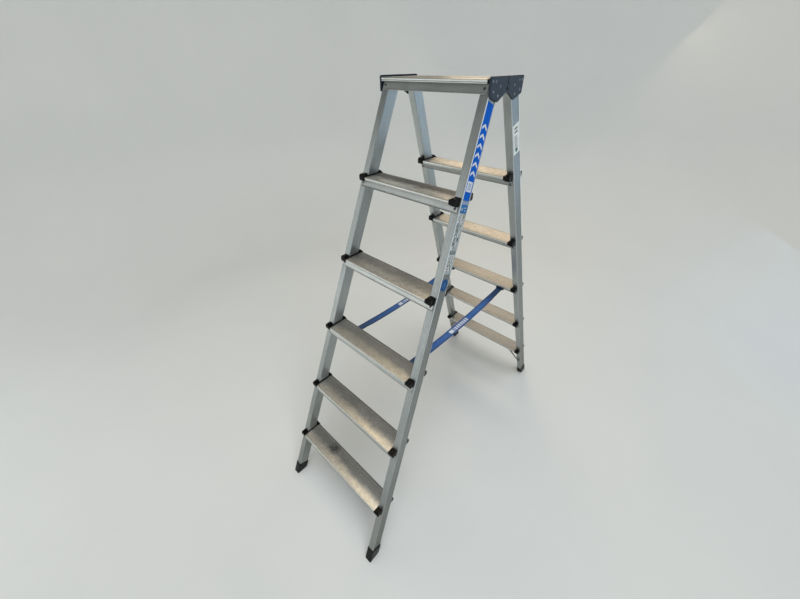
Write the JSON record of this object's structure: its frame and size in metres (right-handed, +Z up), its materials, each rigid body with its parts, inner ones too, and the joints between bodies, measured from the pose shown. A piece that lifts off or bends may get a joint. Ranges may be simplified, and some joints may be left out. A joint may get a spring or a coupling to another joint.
{
  "type": "step ladder",
  "caption": "Double-sided aluminium step ladder: two tapered frames of flat treads hinged at the platform, with black end caps and shoes, and webbing straps between them.",
  "frame": {"origin": "On the floor, in the middle between the four shoes", "axes": "+X along the treads to the right seen from the front, the front side faces -Y, +Z up"},
  "size_m": [0.534, 1.3488, 1.5505],
  "materials": {
    "stile_aluminium": "satin anodised extrusion with a faint blue-green cast",
    "tread_aluminium": "worn satin extrusion, scuffed and smudged on top",
    "black_plastic": "moulded black plastic, slightly scuffed",
    "hinge_paint": "dark slate paint with an orange-peel texture",
    "rivet_metal": "dull rivet",
    "pin_metal": "dark painted pin",
    "brace_steel": "dull grey strip",
    "bracket_metal": "dark coated bracket",
    "strap_webbing": "flat woven webbing",
    "label_blue": "printed film",
    "label_slate": "printed film",
    "label_pale": "printed film, worn",
    "label_navy": "printed film"
  },
  "bodies": {
    "front_ladder": {"front_stile_left": "stile_aluminium", "front_shoe_left": "black_plastic", "front_brace_left": "brace_steel", "front_hinge_plate_left": "hinge_paint", "front_stile_right": "stile_aluminium", "front_shoe_right": "black_plastic", "front_brace_right": "brace_steel", "front_hinge_plate_right": "hinge_paint", "front_tread_1": "tread_aluminium", "front_tread_caps_1": "black_plastic", "front_tread_2": "tread_aluminium", "front_tread_caps_2": "black_plastic", "front_tread_3": "tread_aluminium", "front_tread_caps_3": "black_plastic", "front_tread_4": "tread_aluminium", "front_tread_caps_4": "black_plastic", "front_tread_5": "tread_aluminium", "front_tread_caps_5": "black_plastic", "front_top_tread": "tread_aluminium", "front_tread_rivets": "rivet_metal", "front_brace_rivets": "rivet_metal", "front_hinge_rivets": "hinge_paint", "front_strap_brackets": "bracket_metal", "hinge_pin_left": "pin_metal", "hinge_pin_right": "pin_metal", "blue_strip_label": "label_blue", "small_label": "label_slate", "pictogram_label": "label_pale", "round_badge": "label_navy"},
    "rear_ladder": {"rear_stile_left": "stile_aluminium", "rear_shoe_left": "black_plastic", "rear_brace_left": "brace_steel", "rear_hinge_plate_left": "hinge_paint", "rear_stile_right": "stile_aluminium", "rear_shoe_right": "black_plastic", "rear_brace_right": "brace_steel", "rear_hinge_plate_right": "hinge_paint", "rear_tread_1": "tread_aluminium", "rear_tread_caps_1": "black_plastic", "rear_tread_2": "tread_aluminium", "rear_tread_caps_2": "black_plastic", "rear_tread_3": "tread_aluminium", "rear_tread_caps_3": "black_plastic", "rear_tread_4": "tread_aluminium", "rear_tread_caps_4": "black_plastic", "rear_tread_5": "tread_aluminium", "rear_tread_caps_5": "black_plastic", "rear_top_tread": "tread_aluminium", "rear_tread_rivets": "rivet_metal", "rear_brace_rivets": "rivet_metal", "rear_hinge_rivets": "hinge_paint", "rear_strap_brackets": "bracket_metal", "rear_label": "label_pale"},
    "strap_left_front": {"strap_left_front_half": "strap_webbing"},
    "strap_left_rear": {"strap_left_rear_half": "strap_webbing"},
    "strap_right_front": {"strap_right_front_half": "strap_webbing"},
    "strap_right_rear": {"strap_right_rear_half": "strap_webbing"}
  },
  "joints": [
    {"name": "fold", "type": "hinge", "parent": "front_ladder", "child": "rear_ladder", "pos_m": [0, 0, 1.5234], "axis": [-1, 0, 0], "range_deg": [0, 42], "deforming": ["strap_left_rear_half", "strap_right_rear_half"]},
    {"name": "strap_left_swing", "type": "hinge", "parent": "front_ladder", "child": "strap_left_front", "pos_m": [-0.137, -0.3279, 0.738], "axis": [-1, 0, 0], "range_deg": [0, 103.8]},
    {"name": "strap_left_bend", "type": "hinge", "parent": "strap_left_front", "child": "strap_left_rear", "pos_m": [-0.137, 0, 0.72], "axis": [1, 0, 0], "range_deg": [0, 165.3]},
    {"name": "strap_right_swing", "type": "hinge", "parent": "front_ladder", "child": "strap_right_front", "pos_m": [0.137, -0.3279, 0.738], "axis": [-1, 0, 0], "range_deg": [0, 103.8]},
    {"name": "strap_right_bend", "type": "hinge", "parent": "strap_right_front", "child": "strap_right_rear", "pos_m": [0.137, 0, 0.72], "axis": [1, 0, 0], "range_deg": [0, 165.3]}
  ],
  "couplings": [
    {"joint": "strap_left_swing", "follows": "fold", "ratio": 2.4655},
    {"joint": "strap_left_bend", "follows": "fold", "ratio": 3.931},
    {"joint": "strap_right_swing", "follows": "fold", "ratio": 2.4655},
    {"joint": "strap_right_bend", "follows": "fold", "ratio": 3.931}
  ]
}
